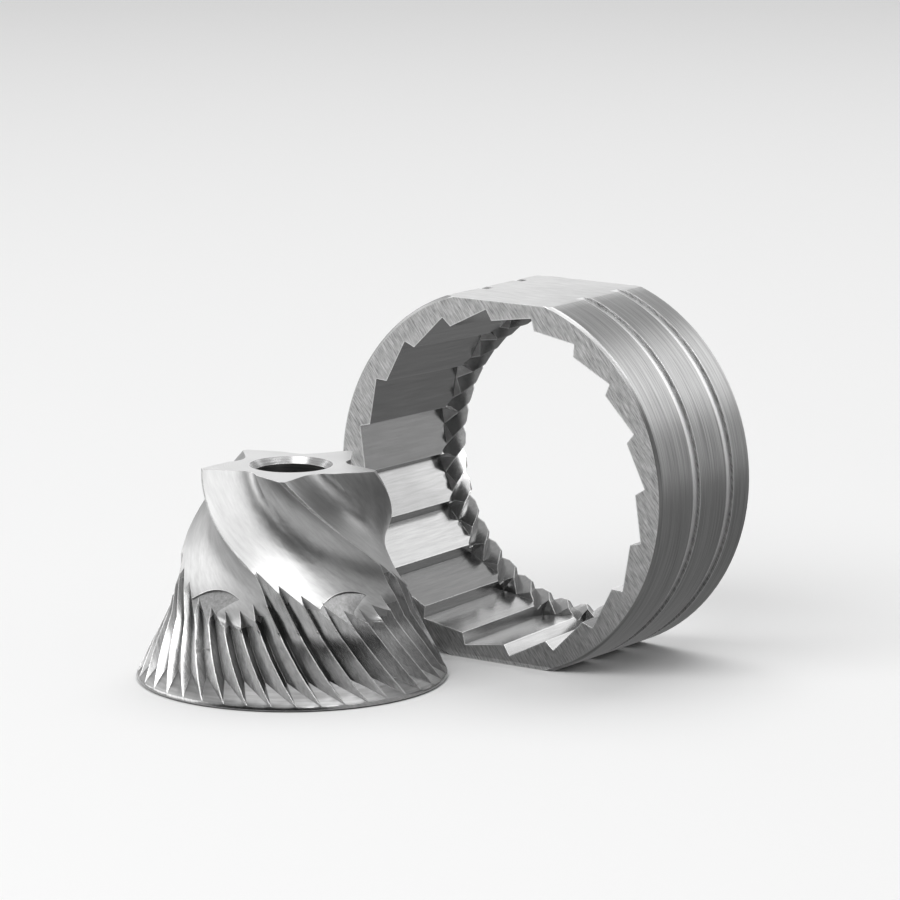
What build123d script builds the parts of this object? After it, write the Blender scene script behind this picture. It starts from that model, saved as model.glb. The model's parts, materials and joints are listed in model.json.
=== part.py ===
from build123d import *
from math import cos, radians, sin, tan
import os

# A matched pair of burrs from a hand coffee grinder, set down side by side.
# The inner burr stands on its base with its bore upright on the origin.
# The outer burr stands on one of its flats, behind and to the right, turned away.
# All sizes are in millimetres and +Z is up.

# Inner burr, the turned body before any cut
cone_height = 20.8
top_radius = 8.75
knee_height = 6.9
knee_radius = 11.8
flare_height = 0.5
flare_radius = 15.0
base_radius = 15.1
rim_height = 0.2
foot_chamfer = 0.15

# Inner burr, the bore for the drive shaft
bore_radius = 3.45
bore_chamfer = 0.6

# Inner burr, the fine teeth and the flange that they run out on
arm_count = 5
teeth_per_arm = 8
fine_tooth_depth = 1.1
fine_tooth_run = 14.0
fine_tooth_twist = 2.55
fine_tooth_turn = 4.6
fine_rake_share = 0.12
fine_crest_land = 0.05
fine_tooth_spans = 12
flange_height = 2.8
flange_radius = 12.6

# Inner burr, the feed flutes: knife edges between them at the top, running out above the fine teeth.
# Shares are of a flute's width, from its own edge on the right, or of its depth.
flute_edge_turn = -5.6
flute_twist = 6.9
flute_top_depth = 3.35
flute_foot_depth = 1.0
flute_foot_height = 10.0
flute_bend_height = 12.0
flute_bend = 1.6
flute_narrowing = 2.6
side_share = 0.83
side_depth_share = 0.55
hollow_foot_depth_share = 0.86
valley_top_share = 0.35
valley_top_depth_share = 0.76
valley_foot_share = 0.5
flute_past_edge = 0.2
flute_past_far_edge = 0.5
flute_levels = 14

# Inner burr, the flat round pocket at the foot of each flute
pocket_radius = 4.8
pocket_height = 6.0
pocket_foot_height = 7.1
pocket_tilt = 34.0
pocket_turn = 33.0

# Outer burr, the turned and flatted outside
ring_radius = 19.0
ring_length = 16.0
flat_distance = 17.95
front_chamfer = 0.3
back_chamfer = 0.3
groove_width = 1.3
groove_depth = 0.3
front_groove_depth_in = 5.6
groove_spacing = 6.0

# Outer burr, the coarse teeth at the mouth
coarse_count = 20
coarse_crest_radius = 16.0
coarse_tooth_depth = 1.1
coarse_rake_angle = 2.0
coarse_turn = 2.8
coarse_end_to_exit = 2.6
coarse_taper = 0.45
coarse_run_out = 0.6

# Outer burr, the fine teeth towards the exit
fine_per_coarse = 2
throat_radius = 14.75
ring_fine_depth = 0.9
ring_fine_length = 3.8
ring_fine_taper = 0.8
ring_fine_lead = -1.5
ring_fine_ramp = 4.0
ring_fine_ease = 1.5
ring_fine_twist = 3.0
ring_fine_rake_angle = 3.5
ring_fine_spans = 6
exit_land = 0.8
exit_flare = 0.4

# How the outer burr stands beside the inner one
ring_turn = 35.5
ring_aside = 13.5
set_gap = 0.3

# How far a cutting shape reaches past the face that it opens
overcut = 1.0

arm_angle = 360 / arm_count
fine_pitch = arm_angle / teeth_per_arm
coarse_length = ring_length - coarse_end_to_exit
front = -90


def body_radius(height):
    """Radius of the inner burr's turned body at a height."""
    if height > knee_height:
        share = (height - knee_height) / (cone_height - knee_height)
        return knee_radius + (top_radius - knee_radius) * share
    share = (height - flare_height) / (knee_height - flare_height)
    return flare_radius + (knee_radius - flare_radius) * share


def spaced(start, end, spans):
    """Even steps from start to end, both included."""
    return [start + (end - start) * step / spans for step in range(spans + 1)]


def toothed_level(corners, height):
    """Points of one level of a toothed body, from (radius, angle) pairs."""
    return [Vector(radius, 0, height).rotate(Axis.Z, angle) for radius, angle in corners]


def toothed_solid(levels):
    """Twisted toothed body: each corner runs through the levels as one smooth curve."""
    edges = [Edge.make_spline(list(points)) for points in zip(*levels)]
    sides = [Face.make_surface_from_curves(edge, beside) for edge, beside in zip(edges, edges[1:] + edges[:1])]
    ends = [Face(Wire.make_polygon(level, close=True)) for level in (levels[0], levels[-1])]
    return Solid(Shell(sides + ends))


def turned(outline):
    """Solid of revolution about Z from (radius, height) points."""
    return revolve(make_face(Plane.XZ * Polyline(outline, close=True)), Axis.Z)


# Inner burr

foot_outline = [(0, 0), (base_radius - foot_chamfer, 0), (base_radius, foot_chamfer), (base_radius, rim_height)]


def cone_body():
    """Turned cone with a flared foot and a thin rim."""
    return turned(foot_outline + [
        (flare_radius, flare_height), (knee_radius, knee_height), (top_radius, cone_height), (0, cone_height)])


def fine_tooth_level(height):
    """One level of the sawtooth body: a long flat relief up to each crest, then a short rake down."""
    crest = body_radius(height) + fine_crest_land
    root = crest - fine_tooth_depth * (1 - (max(height, 0) / fine_tooth_run) ** 2)
    corners = []
    for tooth in range(arm_count * teeth_per_arm):
        angle = front + fine_tooth_turn + tooth * fine_pitch - fine_tooth_twist * height
        corners += [(crest, angle), (root, angle + fine_rake_share * fine_pitch)]
    return toothed_level(corners, height)


def fine_tooth_trimmer():
    """Twisted sawtooth body that trims the turned cone: above the run its teeth clear the cone."""
    heights = spaced(-overcut, cone_height + overcut, fine_tooth_spans)
    return toothed_solid([fine_tooth_level(height) for height in heights])


def flange():
    """Sloped collar at the foot, where the tooth gullets run out."""
    return turned(foot_outline + [
        (flare_radius, flare_height), (flange_radius, flange_height), (0, flange_height)])


def flute_wire(height):
    """One level of a flute: a hollow side, a creased valley, then a straight side up to the next edge."""
    drop = cone_height - height
    past_bend = max(0, flute_bend_height - height)
    edge_turn = front + flute_edge_turn + flute_twist * drop - flute_bend * past_bend ** 2
    width = arm_angle - flute_narrowing * past_bend ** 2
    foot_share = drop / (cone_height - flute_foot_height)
    depth = flute_top_depth + (flute_foot_depth - flute_top_depth) * foot_share

    def point(width_share, depth_share):
        radius = body_radius(height) - depth * depth_share
        return Vector(radius, 0, height).rotate(Axis.Z, edge_turn - width * width_share)

    foot_share = min(1, foot_share)
    valley_share = valley_top_share + (valley_foot_share - valley_top_share) * foot_share
    edge = point(0, 0)
    valley = point(valley_share, valley_top_depth_share + (1 - valley_top_depth_share) * foot_share)
    hollow = point((valley_share + side_share) / 2, 1 + (hollow_foot_depth_share - 1) * foot_share)
    side = point(side_share, side_depth_share)
    far_edge = point(1, 0)
    past_edge = edge + (edge - valley) * flute_past_edge
    past_far_edge = far_edge + (far_edge - side) * flute_past_far_edge
    outside = [point(width_share, -base_radius / depth) for width_share in (0.1, 0.5, 0.9)]
    floor = Edge.make_spline([past_far_edge, side, hollow, valley])
    return Wire([floor] + Polyline(valley, past_edge, *outside, past_far_edge).edges())


def flute_cutter():
    """What a flute takes away, from inside the pocket up and out through the top."""
    heights = spaced(pocket_foot_height, cone_height + overcut, flute_levels)
    return Solid.make_loft([flute_wire(height) for height in heights])


def pocket_cutter():
    """Flat-ended tool's spot at a flute's foot, tilted up so that its floor clears the teeth below."""
    foot_radius = body_radius(pocket_foot_height)
    centre_radius = foot_radius + (pocket_foot_height - pocket_height) * tan(radians(pocket_tilt))
    spot = Plane(
        origin=(centre_radius, 0, pocket_height), x_dir=(0, 1, 0),
        z_dir=(cos(radians(pocket_tilt)), 0, sin(radians(pocket_tilt))))
    tool = Cylinder(pocket_radius, 2 * pocket_radius, align=(Align.CENTER, Align.CENTER, Align.MIN))
    return Rot(0, 0, front + pocket_turn) * (spot.location * tool)


def bore_cutter():
    """Through bore with a chamfer at its top."""
    return turned([
        (0, -overcut), (bore_radius, -overcut), (bore_radius, cone_height - bore_chamfer),
        (bore_radius + bore_chamfer + overcut, cone_height + overcut), (0, cone_height + overcut)])


def inner_burr():
    burr = cone_body()
    flute, pocket = flute_cutter(), pocket_cutter()
    for arm in range(arm_count):
        turn = Rot(0, 0, arm_angle * arm)
        burr = burr - turn * flute - turn * pocket
    return (burr & fine_tooth_trimmer()) + flange() - bore_cutter()


# Outer burr, about its own axis, with its mouth at zero and its exit below

def ring_blank():
    """Turned disc with chamfers and two grooves, flatted on two sides."""
    outline = [(0, 0), (ring_radius - front_chamfer, 0), (ring_radius, -front_chamfer)]
    for place in (front_groove_depth_in, front_groove_depth_in + groove_spacing):
        outline += [
            (ring_radius, -place), (ring_radius - groove_depth, -place),
            (ring_radius - groove_depth, -place - groove_width), (ring_radius, -place - groove_width)]
    outline += [
        (ring_radius, back_chamfer - ring_length), (ring_radius - back_chamfer, -ring_length), (0, -ring_length)]
    flats = Box(2 * ring_radius, 2 * flat_distance, ring_length, align=(Align.CENTER, Align.CENTER, Align.MAX))
    return turned(outline) & flats


def ring_level(count, crest, root, rake_angle, turn, depth_in):
    """One level of the ring's teeth: a long flat relief from crest to root, then a short rake."""
    corners = []
    for tooth in range(count):
        angle = turn + tooth * 360 / count
        corners += [(crest, angle), (root, angle + rake_angle)]
    return toothed_level(corners, -depth_in)


def coarse_cutter():
    """Inside of the coarse teeth: straight facets that close in to the throat at their ends."""
    slope = coarse_taper / coarse_length
    end_root = coarse_crest_radius - coarse_taper + coarse_tooth_depth
    levels = [
        (coarse_crest_radius + slope * overcut, -overcut),
        (coarse_crest_radius - coarse_taper, coarse_length),
        (coarse_crest_radius - coarse_taper - (end_root - throat_radius), coarse_length + coarse_run_out)]
    wires = [
        Wire.make_polygon(ring_level(
            coarse_count, crest, crest + coarse_tooth_depth, coarse_rake_angle, coarse_turn, depth_in), close=True)
        for crest, depth_in in levels]
    return Solid.make_loft(wires, ruled=True)


def ring_fine_cutter():
    """Inside of the fine teeth: twisted gullets that deepen towards the exit."""
    start = ring_length - ring_fine_length
    throat = ring_length - exit_land
    levels = []
    for depth_in in spaced(start, throat, ring_fine_spans) + [ring_length + overcut]:
        share = min(1, (depth_in - start) / (throat - start))
        crest = throat_radius + ring_fine_taper * (1 - share) ** ring_fine_ease
        turn = coarse_turn + ring_fine_lead - ring_fine_twist * (depth_in - start)
        root = crest + ring_fine_depth * min(1, ring_fine_ramp * share)
        levels.append(ring_level(
            coarse_count * fine_per_coarse, crest, root, ring_fine_rake_angle, turn, depth_in))
    return toothed_solid(levels)


def exit_cutter():
    """Short flare at the exit, along the foot of the inner burr."""
    slope = exit_flare / exit_land
    return turned([
        (0, exit_land - ring_length), (throat_radius, exit_land - ring_length),
        (throat_radius + exit_flare + slope * overcut, -ring_length - overcut), (0, -ring_length - overcut)])


def outer_burr():
    burr = ring_blank() - coarse_cutter() - ring_fine_cutter() - exit_cutter()
    turn = radians(ring_turn)
    face_distance = base_radius + set_gap
    centre = (
        face_distance * sin(turn) + ring_aside * cos(turn),
        face_distance * cos(turn) - ring_aside * sin(turn), flat_distance)
    stand = Plane(origin=centre, x_dir=(cos(turn), -sin(turn), 0), z_dir=(-sin(turn), -cos(turn), 0))
    return stand.location * burr


os.makedirs("parts", exist_ok=True)
for name, burr in (("inner_burr", inner_burr()), ("outer_burr", outer_burr())):
    burr.label = name
    export_step(burr, f"parts/{name}.step")
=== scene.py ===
import json
from math import cos, radians, sin
import bpy
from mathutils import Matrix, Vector


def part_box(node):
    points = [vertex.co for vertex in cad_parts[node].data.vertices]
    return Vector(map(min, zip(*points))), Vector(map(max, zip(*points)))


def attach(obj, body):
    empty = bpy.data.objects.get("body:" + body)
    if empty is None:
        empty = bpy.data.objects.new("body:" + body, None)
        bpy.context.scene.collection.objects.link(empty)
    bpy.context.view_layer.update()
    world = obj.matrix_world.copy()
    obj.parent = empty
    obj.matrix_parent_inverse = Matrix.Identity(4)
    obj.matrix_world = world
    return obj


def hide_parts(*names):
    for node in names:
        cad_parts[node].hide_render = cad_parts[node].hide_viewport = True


# A pair of conical burrs from a hand coffee grinder on a pale studio table.
# The shapes come from the frame. This file sorts their faces by how each was machined,
# gives every one its finish, and sets the light and the camera.

mm = 0.001

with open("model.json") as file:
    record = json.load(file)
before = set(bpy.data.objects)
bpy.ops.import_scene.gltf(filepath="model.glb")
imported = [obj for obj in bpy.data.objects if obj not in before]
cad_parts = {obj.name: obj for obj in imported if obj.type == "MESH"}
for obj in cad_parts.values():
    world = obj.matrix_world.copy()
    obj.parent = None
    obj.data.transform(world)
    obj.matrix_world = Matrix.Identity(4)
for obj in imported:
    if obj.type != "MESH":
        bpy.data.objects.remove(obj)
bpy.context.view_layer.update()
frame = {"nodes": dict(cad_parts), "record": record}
print("frame loaded:", sorted(frame["nodes"]))


# What every material and piece uses

def colour(hexCode):  # sRGB hex to linear
    channels = [int(hexCode[place:place + 2], 16) / 255 for place in (1, 3, 5)]
    linear = [value / 12.92 if value <= 0.04045 else ((value + 0.055) / 1.055) ** 2.4 for value in channels]
    return linear + [1.0]


def addNode(tree, kind, inputs=(), **settings):
    # A socket among the inputs is linked, a node is linked by its first output, any other value is set
    node = tree.nodes.new(kind)
    for name, value in settings.items():
        setattr(node, name, value)
    for socket, value in inputs.items() if isinstance(inputs, dict) else enumerate(inputs):
        source = value.outputs[0] if isinstance(value, bpy.types.Node) else value
        if isinstance(source, bpy.types.NodeSocket):
            tree.links.new(source, node.inputs[socket])
        else:
            node.inputs[socket].default_value = source
    return node


def mountNamed(name):
    return next(mount for mount in frame["record"]["mounts"] if mount["name"] == name)


# Sizes of the inner burr in millimetres, read from the frame

boreRadius = mountNamed("shaft_bore")["dims"]["r_mm"]
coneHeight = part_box("inner_burr")[1].z / mm

# How far its cuts turn for each millimetre of height, in degrees, as in the CAD

fluteTwist = 6.9
toothTwist = 2.55

# Where the outer burr's axis passes, in metres, and which way it points

seat = mountNamed("outer_seat")
ringMiddle = Vector(seat["pos_m"])
ringAxis = Vector(seat["axis"])
ringTurn = ringAxis.to_track_quat("Z", "Y").to_euler()


# Steel finishes. Waves are counted in a millimetre, along the pattern's own three directions. The real tool
# marks are finer than the picture can show, so they are drawn as coarse as it takes to see them.
# Twist is in degrees, for each millimetre of height on the inner burr and in all on the outer one.
# Edge is how wide the painted highlight along an outer edge is, and the painted shade's reach how far into a
# corner it darkens, both in millimetres, as bumpDepth is.

# What every finish shares. The ranges lie between 0 and 1, over the streaks' noise or over how clear a spot
# is of outer edges or of corners.
anySteel = {
    "streakDetail": 5.0, "streakRoughness": 0.65, "streakRange": (0.3, 0.7),
    "blotchWaves": 0.35, "blotchDetail": 3.0, "blotchGloss": 0.1,
    "paintedHighlightRange": (0.9, 0.5), "paintedShadeRange": (0.2, 0.9), "cornerSamples": 8,
    "rounding": 0.05, "roundingSamples": 6}

mixFirst, mixSecond, mixResult = 6, 7, 2  # a Mix node's colour sockets, whose names its other sockets share


def conePattern(tree, finish):
    # Object coordinates in millimetres, unwound by the twist of the cut, so that streaks follow it
    place = addNode(tree, "ShaderNodeMapping", {
        "Vector": addNode(tree, "ShaderNodeTexCoord").outputs["Object"], "Scale": (1 / mm,) * 3})
    height = addNode(tree, "ShaderNodeSeparateXYZ", (place,)).outputs["Z"]
    unwind = addNode(tree, "ShaderNodeMath", (height, radians(finish["twist"])), operation="MULTIPLY")
    return addNode(tree, "ShaderNodeVectorRotate", {"Vector": place, "Angle": unwind}, rotation_type="Z_AXIS")


def ringPattern(tree, finish):
    # Object coordinates in millimetres about the outer burr's own axis, turned about it for slanted scratches
    place = addNode(tree, "ShaderNodeMapping", {
        "Vector": addNode(tree, "ShaderNodeTexCoord").outputs["Object"],
        "Location": ringMiddle, "Rotation": ringTurn, "Scale": (mm,) * 3}, vector_type="TEXTURE")
    return addNode(tree, "ShaderNodeVectorRotate", {
        "Vector": place, "Angle": radians(finish["twist"])}, rotation_type="Z_AXIS")


def toolMarks(tree, place, finish):
    # Streaks along the tool's path. Rings on a face lie round the axis, so only the distance from it counts.
    if finish.get("rings"):
        flat = addNode(tree, "ShaderNodeVectorMath", (place, (1, 1, 0)), operation="MULTIPLY")
        distance = addNode(tree, "ShaderNodeVectorMath", (flat,), operation="LENGTH").outputs["Value"]
        place = addNode(tree, "ShaderNodeCombineXYZ", (distance,))
    fine = addNode(tree, "ShaderNodeVectorMath", (place, finish["waves"]), operation="MULTIPLY")
    return addNode(tree, "ShaderNodeTexNoise", {
        "Vector": fine, "Scale": 1.0,
        "Detail": anySteel["streakDetail"], "Roughness": anySteel["streakRoughness"]})


def steelColour(tree, marks, finish):
    # Two close greys in the streaks, a painted highlight along outer edges, and painted shade in corners and
    # at the foot of every tooth
    darkest, lightest = anySteel["streakRange"]
    tone = addNode(tree, "ShaderNodeMapRange", {"Value": marks, "From Min": darkest, "From Max": lightest})
    grey = addNode(tree, "ShaderNodeMix", {
        "Factor": tone, mixFirst: colour(finish["dark"]), mixSecond: colour(finish["light"])},
        data_type="RGBA").outputs[mixResult]
    # Painted highlight: outer edges, found by occlusion from inside, are lightened toward a near-white tone
    edge = addNode(tree, "ShaderNodeAmbientOcclusion", {"Distance": finish["edge"] * mm},
                   samples=anySteel["cornerSamples"], inside=True, only_local=True).outputs["AO"]
    highlightStart, highlightFull = anySteel["paintedHighlightRange"]
    paintedHighlight = addNode(tree, "ShaderNodeMapRange", {
        "Value": edge, "From Min": highlightStart, "From Max": highlightFull, "To Max": finish["paintedHighlight"]})
    paintedHighlightTone = addNode(tree, "ShaderNodeMix", {
        "Factor": paintedHighlight, mixFirst: grey, mixSecond: colour(finish["paintedHighlightTone"])},
        data_type="RGBA").outputs[mixResult]
    # Painted shade: corners and hollows, found by ambient occlusion, are darkened
    hollow = addNode(tree, "ShaderNodeAmbientOcclusion", {"Distance": finish["paintedShadeReach"] * mm},
                     samples=anySteel["cornerSamples"]).outputs["AO"]
    closed, clear = anySteel["paintedShadeRange"]
    shade = addNode(tree, "ShaderNodeMapRange", {
        "Value": hollow, "From Min": closed, "From Max": clear, "To Min": finish["paintedShadeTone"]})
    return addNode(tree, "ShaderNodeMix", {
        "Factor": 1.0, mixFirst: paintedHighlightTone, mixSecond: shade},
        data_type="RGBA", blend_type="MULTIPLY").outputs[mixResult]


def steel(name, pattern, finish):
    # Hardened stainless: tool marks in its tone, gloss and surface, with faint blotches from handling
    material = bpy.data.materials.new(name + "Steel")
    material.use_nodes = True
    tree = material.node_tree
    tree.nodes.clear()
    place = pattern(tree, finish)
    marks = toolMarks(tree, place, finish)
    blotches = addNode(tree, "ShaderNodeTexNoise", {
        "Vector": place, "Scale": anySteel["blotchWaves"], "Detail": anySteel["blotchDetail"]})
    smooth, rough = finish["roughness"]
    gloss = addNode(tree, "ShaderNodeMath", (marks, rough - smooth, smooth), operation="MULTIPLY_ADD")
    gloss = addNode(tree, "ShaderNodeMath", (
        blotches, anySteel["blotchGloss"], gloss), operation="MULTIPLY_ADD")
    rounded = addNode(tree, "ShaderNodeBevel", {
        "Radius": anySteel["rounding"] * mm}, samples=anySteel["roundingSamples"])
    relief = addNode(tree, "ShaderNodeBump", {
        "Height": marks, "Normal": rounded, "Strength": finish["bump"], "Distance": finish["bumpDepth"] * mm})
    tone = steelColour(tree, marks, finish)
    shader = addNode(tree, "ShaderNodeBsdfPrincipled", {
        "Metallic": 1.0, "Base Color": tone, "Roughness": gloss, "Normal": relief})
    addNode(tree, "ShaderNodeOutputMaterial", (shader,))
    return material


# Finishes of the inner burr

coneFinishes = {
    # Face-ground star at the top: pale satin with fine rings round the bore
    "groundStar": {
        "twist": 0.0, "rings": True, "waves": (9.0, 9.0, 9.0), "dark": "#c0c0c0", "light": "#d8d8d8",
        "roughness": (0.3, 0.42), "edge": 0.15, "paintedHighlight": 0.6, "paintedHighlightTone": "#ededed",
        "paintedShadeReach": 1.0, "paintedShadeTone": 0.85, "bump": 0.25, "bumpDepth": 0.006},
    # Chamfer of the bore: a bright turned ring
    "turnedChamfer": {
        "twist": 0.0, "waves": (0.3, 0.3, 6.0), "dark": "#a0a0a0", "light": "#cacaca",
        "roughness": (0.15, 0.25), "edge": 0.12, "paintedHighlight": 0.5, "paintedHighlightTone": "#ededed",
        "paintedShadeReach": 1.0, "paintedShadeTone": 0.8, "bump": 0.2, "bumpDepth": 0.006},
    # Reamed bore: fine rings in a darker grey, with painted shade deep inside
    "reamedBore": {
        "twist": 0.0, "waves": (0.3, 0.3, 7.0), "dark": "#7c7c7c", "light": "#a6a6a6",
        "roughness": (0.2, 0.32), "edge": 0.1, "paintedHighlight": 0.2, "paintedHighlightTone": "#d0d0d0",
        "paintedShadeReach": 5.0, "paintedShadeTone": 0.5, "bump": 0.3, "bumpDepth": 0.006},
    # Flutes left by a ball-ended cutter: satin, with long faint streaks down the twist
    "milledFlute": {
        "twist": fluteTwist, "waves": (2.2, 2.2, 0.2), "dark": "#9a9a9a", "light": "#b0b0b0",
        "roughness": (0.28, 0.38), "edge": 0.14, "paintedHighlight": 0.7, "paintedHighlightTone": "#e6e6e6",
        "paintedShadeReach": 4.0, "paintedShadeTone": 0.5, "bump": 0.12, "bumpDepth": 0.01},
    # Land of each arm, polished along its turning: fine level lines
    "turnedLand": {
        "twist": 0.0, "waves": (0.3, 0.3, 6.0), "dark": "#a2a2a2", "light": "#c4c4c4",
        "roughness": (0.3, 0.42), "edge": 0.14, "paintedHighlight": 0.7, "paintedHighlightTone": "#e6e6e6",
        "paintedShadeReach": 2.0, "paintedShadeTone": 0.6, "bump": 0.3, "bumpDepth": 0.008},
    # Fine teeth: ground along each tooth, with a painted highlight along the crests and painted shade at
    # their feet
    "groundTeeth": {
        "twist": toothTwist, "waves": (4.0, 4.0, 0.3), "dark": "#8a8a8a", "light": "#b0b0b0",
        "roughness": (0.12, 0.22), "edge": 0.16, "paintedHighlight": 1.0, "paintedHighlightTone": "#f4f4f4",
        "paintedShadeReach": 0.7, "paintedShadeTone": 0.25, "bump": 0.2, "bumpDepth": 0.008},
    # Flat-ended cutter's spot at the foot of each flute: darker and mottled
    "spotFacedPocket": {
        "twist": 0.0, "waves": (3.5, 3.5, 3.5), "dark": "#727272", "light": "#969696",
        "roughness": (0.24, 0.38), "edge": 0.12, "paintedHighlight": 0.6, "paintedHighlightTone": "#e0e0e0",
        "paintedShadeReach": 2.5, "paintedShadeTone": 0.5, "bump": 0.35, "bumpDepth": 0.01},
    # Turned flange below the teeth: darker, with faint level lines
    "turnedFlange": {
        "twist": 0.0, "waves": (0.15, 0.15, 4.0), "dark": "#747474", "light": "#949494",
        "roughness": (0.3, 0.42), "edge": 0.1, "paintedHighlight": 0.4, "paintedHighlightTone": "#d0d0d0",
        "paintedShadeReach": 1.2, "paintedShadeTone": 0.6, "bump": 0.15, "bumpDepth": 0.008}}

# Finishes of the outer burr

ringFinishes = {
    # Groove floors, cut with a parting tool: bright, with faint rings round the axis
    "grooveFloor": {
        "twist": 0.0, "waves": (0.1, 0.1, 5.0), "dark": "#e0e0e0", "light": "#f4f4f4",
        "roughness": (0.3, 0.42), "edge": 0.1, "paintedHighlight": 0.3, "paintedHighlightTone": "#f4f4f4",
        "paintedShadeReach": 0.15, "paintedShadeTone": 0.4, "bump": 0.2, "bumpDepth": 0.008},
    # Mouth and exit faces, surface-ground in one direction: mid grey, with straight slanted scratches
    "groundFace": {
        "twist": 38.0, "waves": (7.0, 0.7, 3.0), "dark": "#7c7c7c", "light": "#dcdcdc",
        "roughness": (0.34, 0.52), "edge": 0.16, "paintedHighlight": 1.0, "paintedHighlightTone": "#f0f0f0",
        "paintedShadeReach": 0.8, "paintedShadeTone": 0.75, "bump": 0.6, "bumpDepth": 0.012},
    # Outside, turned: fine rings round the axis
    "turnedOutside": {
        "twist": 0.0, "waves": (0.1, 0.1, 7.0), "dark": "#828282", "light": "#bababa",
        "roughness": (0.22, 0.36), "edge": 0.16, "paintedHighlight": 1.0, "paintedHighlightTone": "#e4e4e4",
        "paintedShadeReach": 0.8, "paintedShadeTone": 0.5, "bump": 0.5, "bumpDepth": 0.01},
    # The two flats, milled across the ring's axis: pale, with faint lines that way
    "milledFlat": {
        "twist": 0.0, "waves": (0.4, 0.4, 3.0), "dark": "#b4b4b4", "light": "#d0d0d0",
        "roughness": (0.3, 0.42), "edge": 0.16, "paintedHighlight": 0.8, "paintedHighlightTone": "#ededed",
        "paintedShadeReach": 0.8, "paintedShadeTone": 0.7, "bump": 0.35, "bumpDepth": 0.01},
    # Coarse facets, broached from the mouth, and the fine teeth behind them: half mirror, with faint lines
    # along the ring
    "broachedFacet": {
        "twist": 0.0, "waves": (3.0, 3.0, 0.15), "dark": "#a0a0a0", "light": "#b2b2b2",
        "roughness": (0.13, 0.18), "edge": 0.16, "paintedHighlight": 1.0, "paintedHighlightTone": "#f4f4f4",
        "paintedShadeReach": 0.4, "paintedShadeTone": 0.6, "bump": 0.05, "bumpDepth": 0.006}}

coneSteel = {name: steel(name, conePattern, finish) for name, finish in coneFinishes.items()}
ringSteel = {name: steel(name, ringPattern, finish) for name, finish in ringFinishes.items()}
print("steel finishes made:", len(coneSteel) + len(ringSteel))


# Faces sorted by how they were machined. A tree takes the copied CAD mesh, joins its loose triangles,
# shades it smooth across all but its real edges, and gives each rule's faces a material, later over earlier.

joinDistance = 0.002 * mm  # corners closer than this are one
creaseAngle = radians(28)  # edges that turn less are shaded smooth


def startSorting(name, sizes):
    tree = bpy.data.node_groups.new(name, "GeometryNodeTree")
    tree.is_modifier = True
    tree.interface.new_socket("Geometry", in_out="INPUT", socket_type="NodeSocketGeometry")
    tree.interface.new_socket("Geometry", in_out="OUTPUT", socket_type="NodeSocketGeometry")
    for label, size in sizes.items():
        tree.interface.new_socket(label, in_out="INPUT", socket_type="NodeSocketFloat").default_value = size
    given = addNode(tree, "NodeGroupInput").outputs
    joined = addNode(tree, "GeometryNodeMergeByDistance", {
        "Geometry": given["Geometry"], "Distance": joinDistance})
    turn = addNode(tree, "GeometryNodeInputMeshEdgeAngle").outputs["Unsigned Angle"]
    gentle = addNode(tree, "FunctionNodeCompare", (turn, given["Crease Angle"]), operation="LESS_THAN")
    smooth = addNode(tree, "GeometryNodeSetShadeSmooth", {
        "Geometry": joined, "Shade Smooth": True}, domain="FACE")
    shaded = addNode(tree, "GeometryNodeSetShadeSmooth", {
        "Geometry": smooth, "Shade Smooth": gentle}, domain="EDGE")
    return tree, given, shaded


def finishSorting(tree, geometry, rules):
    geometry = addNode(tree, "GeometryNodeRealizeInstances", {"Geometry": geometry})
    for material, chosen in rules:
        geometry = addNode(tree, "GeometryNodeSetMaterial", {
            "Geometry": geometry, "Selection": chosen, "Material": material})
    addNode(tree, "NodeGroupOutput", {"Geometry": geometry})


def dress(nodeName, pieceName, tree, sizes, firstMaterial):
    # The sorted copy of a CAD node becomes a plain mesh that takes the node's place
    copy = bpy.data.objects.new(pieceName + "Copy", frame["nodes"][nodeName].data.copy())
    copy.data.attributes.remove(copy.data.attributes["custom_normal"])  # or it overrules the smoothing
    copy.data.materials.clear()
    copy.data.materials.append(firstMaterial)
    bpy.context.scene.collection.objects.link(copy)
    sorting = copy.modifiers.new("faceSorting", "NODES")
    sorting.node_group = tree
    for item in tree.interface.items_tree:
        if item.in_out == "INPUT" and item.name in sizes:
            sorting[item.identifier] = float(sizes[item.name])
    mesh = bpy.data.meshes.new_from_object(copy.evaluated_get(bpy.context.evaluated_depsgraph_get()))
    mesh.name = pieceName
    piece = bpy.data.objects.new(pieceName, mesh)
    bpy.context.scene.collection.objects.link(piece)
    bpy.data.objects.remove(copy)
    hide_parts(nodeName)
    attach(piece, "root")
    print("dressed", pieceName, len(mesh.polygons), "faces,", [material.name for material in mesh.materials])


# Inner burr. Its sizes follow the CAD, a little larger where a rule must catch the whole of a face. Heights
# and radii are in millimetres, and angles in degrees but for the crease. Slack is how far off a face may be,
# and facing how squarely it must face a direction, as a cosine.

fluteCount = 5
armAngle = 360 / fluteCount

coneSizes = {
    "Crease Angle": creaseAngle, "Height": coneHeight, "Bore Radius": boreRadius, "Chamfer": 0.65,
    "Edge Turn": -95.6, "Twist": fluteTwist, "Bend Height": 12.0, "Bend": 1.6, "Narrowing": 2.6,
    "Pocket Turn": -57.0, "Pocket Tilt": 34.0, "Knee Height": 6.9, "Knee Radius": 11.8, "Land Slope": 0.2194,
    "Teeth Height": 7.0, "Flange Height": 2.9, "Flange Tilt": 46.2,
    "Bore Slack": 0.05, "Land Slack": 0.07, "Top Slack": 0.02, "Pocket Slack": 1.0, "Flange Slack": 1.5,
    "Land Facing": 0.96, "Star Facing": 0.9}


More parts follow.
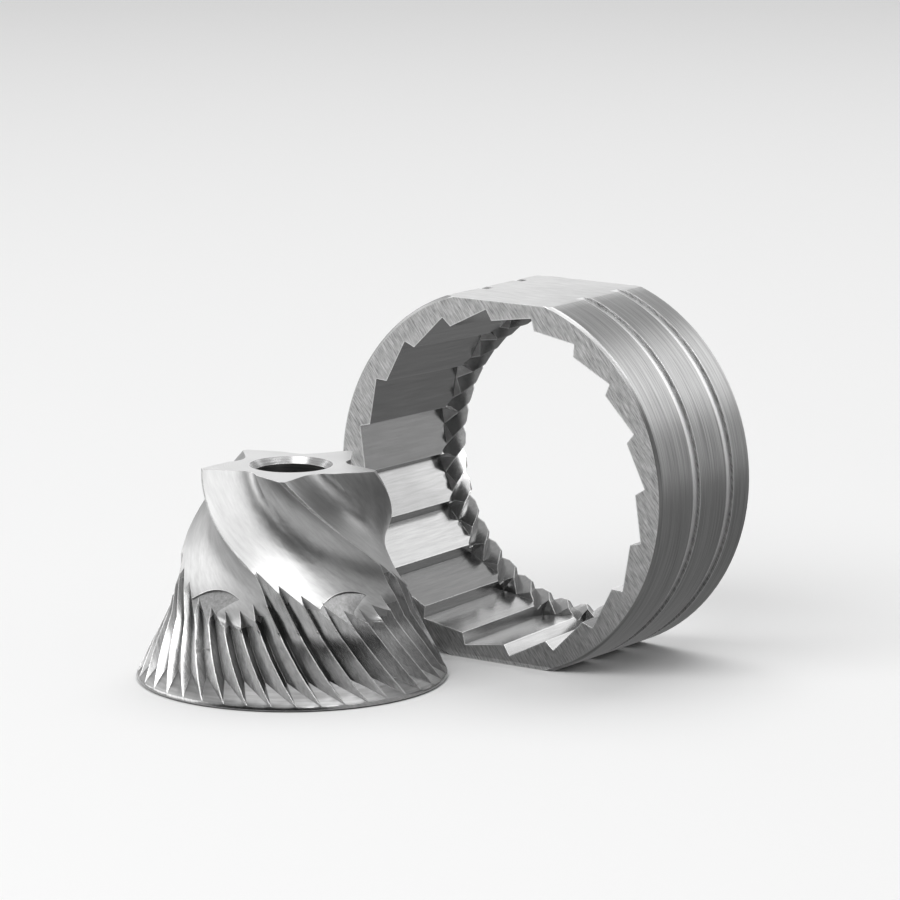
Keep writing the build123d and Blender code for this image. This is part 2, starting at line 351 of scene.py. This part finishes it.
def measured(tree):
    # Where a face is and which way it faces: places in millimetres, angles in degrees
    position = addNode(tree, "GeometryNodeInputPosition")
    place = addNode(tree, "ShaderNodeVectorMath", (position, (1 / mm,) * 3), operation="MULTIPLY")
    x, y, height = addNode(tree, "ShaderNodeSeparateXYZ", (place,)).outputs
    normal = addNode(tree, "GeometryNodeInputNormal")
    normalX, normalY, upward = addNode(tree, "ShaderNodeSeparateXYZ", (normal,)).outputs
    flat = addNode(tree, "ShaderNodeCombineXYZ", (x, y))
    radius = addNode(tree, "ShaderNodeVectorMath", (flat,), operation="LENGTH").outputs["Value"]
    away = addNode(tree, "ShaderNodeVectorMath", (flat,), operation="NORMALIZE")
    outward = addNode(tree, "ShaderNodeVectorMath", (away, normal), operation="DOT_PRODUCT").outputs["Value"]
    angles = []
    for operation, values in (("ARCTAN2", (y, x)), ("ARCTAN2", (normalY, normalX)), ("ARCSINE", (upward,))):
        angle = addNode(tree, "ShaderNodeMath", values, operation=operation)
        angles.append(addNode(tree, "ShaderNodeMath", (angle,), operation="DEGREES"))
    return height, radius, outward, upward, *angles


def insideFlute(tree, size, height, turn):
    # A flute reaches back from its twisting edge over its own width, less where it narrows at the foot
    pastBend = addNode(tree, "ShaderNodeMath", (size["Bend Height"], height), operation="SUBTRACT")
    pastBend = addNode(tree, "ShaderNodeMath", (pastBend, 0.0), operation="MAXIMUM")
    pastBend = addNode(tree, "ShaderNodeMath", (pastBend, 2.0), operation="POWER")
    drop = addNode(tree, "ShaderNodeMath", (size["Height"], height), operation="SUBTRACT")
    edgeTurn = addNode(tree, "ShaderNodeMath", (
        size["Twist"], drop, size["Edge Turn"]), operation="MULTIPLY_ADD")
    bend = addNode(tree, "ShaderNodeMath", (size["Bend"], pastBend), operation="MULTIPLY")
    edgeTurn = addNode(tree, "ShaderNodeMath", (edgeTurn, bend), operation="SUBTRACT")
    fromEdge = addNode(tree, "ShaderNodeMath", (turn, edgeTurn), operation="SUBTRACT")
    fromEdge = addNode(tree, "ShaderNodeMath", (fromEdge, armAngle), operation="FLOORED_MODULO")
    lost = addNode(tree, "ShaderNodeMath", (size["Narrowing"], pastBend), operation="MULTIPLY")
    return addNode(tree, "FunctionNodeCompare", (fromEdge, lost), operation="GREATER_THAN")


def onLand(tree, size, height, radius, outward):
    # The land is what is left of the turned cone between a flute and the fine teeth
    rise = addNode(tree, "ShaderNodeMath", (height, size["Knee Height"]), operation="SUBTRACT")
    drawn = addNode(tree, "ShaderNodeMath", (rise, size["Land Slope"]), operation="MULTIPLY")
    landRadius = addNode(tree, "ShaderNodeMath", (size["Knee Radius"], drawn), operation="SUBTRACT")
    onCone = addNode(tree, "FunctionNodeCompare", {
        0: radius, 1: landRadius, "Epsilon": size["Land Slack"]}, operation="EQUAL")
    outermost = addNode(tree, "FunctionNodeCompare", (outward, size["Land Facing"]), operation="GREATER_THAN")
    return addNode(tree, "FunctionNodeBooleanMath", (onCone, outermost), operation="AND")


def onPocket(tree, size, facing, tilt):
    # A pocket's floor faces up and outwards at its tilt, at the same place on every arm
    aside = addNode(tree, "ShaderNodeMath", (facing, size["Pocket Turn"]), operation="SUBTRACT")
    aside = addNode(tree, "ShaderNodeMath", (aside, armAngle / 2), operation="ADD")
    aside = addNode(tree, "ShaderNodeMath", (aside, armAngle), operation="FLOORED_MODULO")
    turned = addNode(tree, "FunctionNodeCompare", {
        0: aside, 1: armAngle / 2, "Epsilon": size["Pocket Slack"]}, operation="EQUAL")
    tilted = addNode(tree, "FunctionNodeCompare", {
        0: tilt, 1: size["Pocket Tilt"], "Epsilon": size["Pocket Slack"]}, operation="EQUAL")
    return addNode(tree, "FunctionNodeBooleanMath", (turned, tilted), operation="AND")


def onFlange(tree, size, height, tilt):
    low = addNode(tree, "FunctionNodeCompare", (height, size["Flange Height"]), operation="LESS_THAN")
    tilted = addNode(tree, "FunctionNodeCompare", {
        0: tilt, 1: size["Flange Tilt"], "Epsilon": size["Flange Slack"]}, operation="EQUAL")
    return addNode(tree, "FunctionNodeBooleanMath", (low, tilted), operation="AND")


def onStar(tree, size, height, upward):
    topLimit = addNode(tree, "ShaderNodeMath", (size["Height"], size["Top Slack"]), operation="SUBTRACT")
    atTop = addNode(tree, "FunctionNodeCompare", (height, topLimit), operation="GREATER_THAN")
    level = addNode(tree, "FunctionNodeCompare", (upward, size["Star Facing"]), operation="GREATER_THAN")
    return addNode(tree, "FunctionNodeBooleanMath", (atTop, level), operation="AND")


def onChamfer(tree, size, radius, outward):
    reach = addNode(tree, "ShaderNodeMath", (size["Bore Radius"], size["Chamfer"]), operation="ADD")
    near = addNode(tree, "FunctionNodeCompare", (radius, reach), operation="LESS_THAN")
    inward = addNode(tree, "FunctionNodeCompare", (outward, 0.0), operation="LESS_THAN")
    return addNode(tree, "FunctionNodeBooleanMath", (near, inward), operation="AND")


def sortCone():
    tree, size, geometry = startSorting("innerBurrFaces", coneSizes)
    height, radius, outward, upward, turn, facing, tilt = measured(tree)
    aboveTeeth = addNode(tree, "FunctionNodeCompare", (
        height, size["Teeth Height"]), operation="GREATER_THAN")
    flute = addNode(tree, "FunctionNodeBooleanMath", (
        aboveTeeth, insideFlute(tree, size, height, turn)), operation="AND")
    land = addNode(tree, "FunctionNodeBooleanMath", (
        aboveTeeth, onLand(tree, size, height, radius, outward)), operation="AND")
    bore = addNode(tree, "FunctionNodeCompare", {
        0: radius, 1: size["Bore Radius"], "Epsilon": size["Bore Slack"]}, operation="EQUAL")
    finishSorting(tree, geometry, [
        (coneSteel["groundTeeth"], True),
        (coneSteel["milledFlute"], flute),
        (coneSteel["turnedLand"], land),
        (coneSteel["spotFacedPocket"], onPocket(tree, size, facing, tilt)),
        (coneSteel["turnedFlange"], onFlange(tree, size, height, tilt)),
        (coneSteel["groundStar"], onStar(tree, size, height, upward)),
        (coneSteel["turnedChamfer"], onChamfer(tree, size, radius, outward)),
        (coneSteel["reamedBore"], bore)])
    return tree


dress("inner_burr", "innerBurr", sortCone(), coneSizes, coneSteel["groundTeeth"])


# Outer burr, about its own axis, in the same units

ringSizes = {
    "Crease Angle": creaseAngle, "Tooth Reach": 17.2, "Groove Radius": 18.75,
    "End Facing": 0.98, "Flat Facing": 0.9999}


def sortRing():
    tree, size, geometry = startSorting("outerBurrFaces", ringSizes)
    position = addNode(tree, "GeometryNodeInputPosition")
    offset = addNode(tree, "ShaderNodeVectorMath", (position, ringMiddle), operation="SUBTRACT")
    across = addNode(tree, "ShaderNodeVectorMath", (offset, ringAxis), operation="CROSS_PRODUCT")
    radius = addNode(tree, "ShaderNodeVectorMath", (across,), operation="LENGTH").outputs["Value"]
    radius = addNode(tree, "ShaderNodeMath", (radius, mm), operation="DIVIDE")
    normal = addNode(tree, "GeometryNodeInputNormal")
    along = addNode(tree, "ShaderNodeVectorMath", (
        normal, ringAxis), operation="DOT_PRODUCT").outputs["Value"]
    along = addNode(tree, "ShaderNodeMath", (along,), operation="ABSOLUTE")
    upright = addNode(tree, "ShaderNodeSeparateXYZ", (normal,)).outputs["Z"]
    upright = addNode(tree, "ShaderNodeMath", (upright,), operation="ABSOLUTE")
    groove = addNode(tree, "FunctionNodeCompare", (radius, size["Groove Radius"]), operation="LESS_THAN")
    flat = addNode(tree, "FunctionNodeCompare", (upright, size["Flat Facing"]), operation="GREATER_THAN")
    inside = addNode(tree, "FunctionNodeCompare", (radius, size["Tooth Reach"]), operation="LESS_THAN")
    end = addNode(tree, "FunctionNodeCompare", (along, size["End Facing"]), operation="GREATER_THAN")
    finishSorting(tree, geometry, [
        (ringSteel["turnedOutside"], True),
        (ringSteel["grooveFloor"], groove),
        (ringSteel["milledFlat"], flat),
        (ringSteel["broachedFacet"], inside),
        (ringSteel["groundFace"], end)])
    return tree


dress("outer_burr", "outerBurr", sortRing(), ringSizes, ringSteel["turnedOutside"])


# Studio, in metres and degrees. Lamps and cards stand round its middle, each at an azimuth, an elevation
# and a distance.

studio = {
    "middle": (0.015, 0.0, 0.015), "floorSize": 8.0, "floorTone": "#f4f4f4", "floorRoughness": 0.6,
    "worldTone": "#e8e8e8", "worldStrength": 0.48, "backdropTone": "#d0d0d0"}

softBoxes = {  # with their power in watts
    "keySoftBox": {"azimuth": -128, "elevation": 43, "distance": 0.85, "size": (0.95, 0.45), "power": 4.3},
    "topSoftBox": {"azimuth": 75, "elevation": 66, "distance": 0.9, "size": (0.8, 0.5), "power": 3.3}}

cards = {  # seen by reflections only, with their tone and how brightly it shines
    "leftWhite": {
        "azimuth": 165, "elevation": 20, "distance": 0.8, "size": (0.9, 0.4),
        "tone": "#ffffff", "shine": 2.6},
    "upperWhite": {
        "azimuth": -140, "elevation": 68, "distance": 0.9, "size": (0.5, 0.4),
        "tone": "#ffffff", "shine": 3.6},
    "teethWhite": {
        "azimuth": -45, "elevation": 55, "distance": 0.8, "size": (0.65, 0.3),
        "tone": "#ffffff", "shine": 6.0},
    "backWhite": {
        "azimuth": 90, "elevation": 15, "distance": 1.0, "size": (0.6, 0.4),
        "tone": "#ffffff", "shine": 1.5},
    "rightWhite": {
        "azimuth": 33, "elevation": 27, "distance": 0.8, "size": (0.4, 0.36),
        "tone": "#ffffff", "shine": 2.0},
    "frontDark": {
        "azimuth": -105, "elevation": 14, "distance": 0.7, "size": (1.3, 0.58),
        "tone": "#303030", "shine": 1.0},
    # A grey sheet seen only in reflections: painted shade on the floor to the right, as the metal mirrors it
    "floorGrey": {  # lies just above the floor, to the right
        "place": (0.14, 0.02, 0.0004), "size": (0.25, 0.5),
        "tone": "#8a8a8a", "shine": 1.0}}


def makeSheet(name, size, materialName, inputs):
    # A flat rectangle about its own middle, in one plain material
    wide, high = (side / 2 for side in size)
    corners = [(-wide, -high, 0), (wide, -high, 0), (wide, high, 0), (-wide, high, 0)]
    mesh = bpy.data.meshes.new(name)
    mesh.from_pydata(corners, [], [(0, 1, 2, 3)])
    material = bpy.data.materials.new(materialName)
    material.use_nodes = True
    shader = material.node_tree.nodes["Principled BSDF"]
    for socket, value in inputs.items():
        shader.inputs[socket].default_value = value
    mesh.materials.append(material)
    return bpy.data.objects.new(name, mesh)


def makeFloor():
    # Matt pale paper: it takes soft shadows and shows no card
    floor = makeSheet("studioFloor", (studio["floorSize"],) * 2, "palePaper", {
        "Base Color": colour(studio["floorTone"]), "Roughness": studio["floorRoughness"],
        "Specular IOR Level": 0.0})
    bpy.context.scene.collection.objects.link(floor)


def standAt(piece, stand):
    # Stands a lamp or card at its angles, facing the middle, or lays a card down at its place
    bpy.context.scene.collection.objects.link(piece)
    if "place" in stand:
        piece.location = stand["place"]
        return
    turn, tilt = radians(stand["azimuth"]), radians(stand["elevation"])
    towards = Vector((cos(tilt) * cos(turn), cos(tilt) * sin(turn), sin(tilt)))
    piece.location = Vector(studio["middle"]) + towards * stand["distance"]
    piece.rotation_mode = "QUATERNION"
    piece.rotation_quaternion = towards.to_track_quat("Z", "Y")


def makeSoftBox(name, box):
    light = bpy.data.lights.new(name, "AREA")
    light.shape, light.energy = "RECTANGLE", box["power"]
    light.size, light.size_y = box["size"]
    lamp = bpy.data.objects.new(name, light)
    lamp.visible_glossy = False  # the cards make the reflections
    standAt(lamp, box)


def makeCard(name, card):
    piece = makeSheet(name, card["size"], name, {
        "Base Color": (0.0, 0.0, 0.0, 1.0), "Specular IOR Level": 0.0,
        "Emission Color": colour(card["tone"]), "Emission Strength": card["shine"]})
    piece.visible_camera = piece.visible_diffuse = piece.visible_shadow = False
    standAt(piece, card)


def makeWorld():
    # The camera and reflections see the backdrop, and a paler, weaker tone lights the set
    world = bpy.data.worlds.new("paleRoom")
    bpy.context.scene.world = world
    world.use_nodes = True
    tree = world.node_tree
    tree.nodes.clear()
    ray = addNode(tree, "ShaderNodeLightPath").outputs
    mirrored = addNode(tree, "ShaderNodeMath", (
        ray["Is Glossy Ray"], ray["Is Transmission Ray"]), operation="MAXIMUM")
    seen = addNode(tree, "ShaderNodeMath", (ray["Is Camera Ray"], mirrored), operation="MAXIMUM")
    light = addNode(tree, "ShaderNodeBackground", (colour(studio["worldTone"]), studio["worldStrength"]))
    backdrop = addNode(tree, "ShaderNodeBackground", (colour(studio["backdropTone"]), 1.0))
    mixed = addNode(tree, "ShaderNodeMixShader", (seen, light, backdrop))
    addNode(tree, "ShaderNodeOutputWorld", (mixed,))


makeFloor()
for name, box in softBoxes.items():
    makeSoftBox(name, box)
for name, card in cards.items():
    makeCard(name, card)
makeWorld()


# Camera. The photograph shows its two pieces from different heights, so this one stands between them.
# Target, distance, lens and sensor are in millimetres, elevation in degrees, and clip in metres.

view = {
    "target": (15.3, 0.0, 22.2), "distance": 450.0, "elevation": 11.0,
    "lens": 187.2, "sensor": 36.0, "clip": (0.01, 20.0)}


def makeCamera():
    lens = bpy.data.cameras.new("studioCamera")
    lens.lens, lens.sensor_width = view["lens"], view["sensor"]
    lens.clip_start, lens.clip_end = view["clip"]
    camera = bpy.data.objects.new("studioCamera", lens)
    tilt = radians(view["elevation"])
    back = Vector((0, -cos(tilt), sin(tilt)))
    camera.location = (Vector(view["target"]) + back * view["distance"]) * mm
    camera.rotation_mode = "QUATERNION"
    camera.rotation_quaternion = back.to_track_quat("Z", "Y")
    bpy.context.scene.collection.objects.link(camera)
    bpy.context.scene.camera = camera
    bpy.context.scene.view_settings.view_transform = "Standard"


makeCamera()
print("studio and camera set")
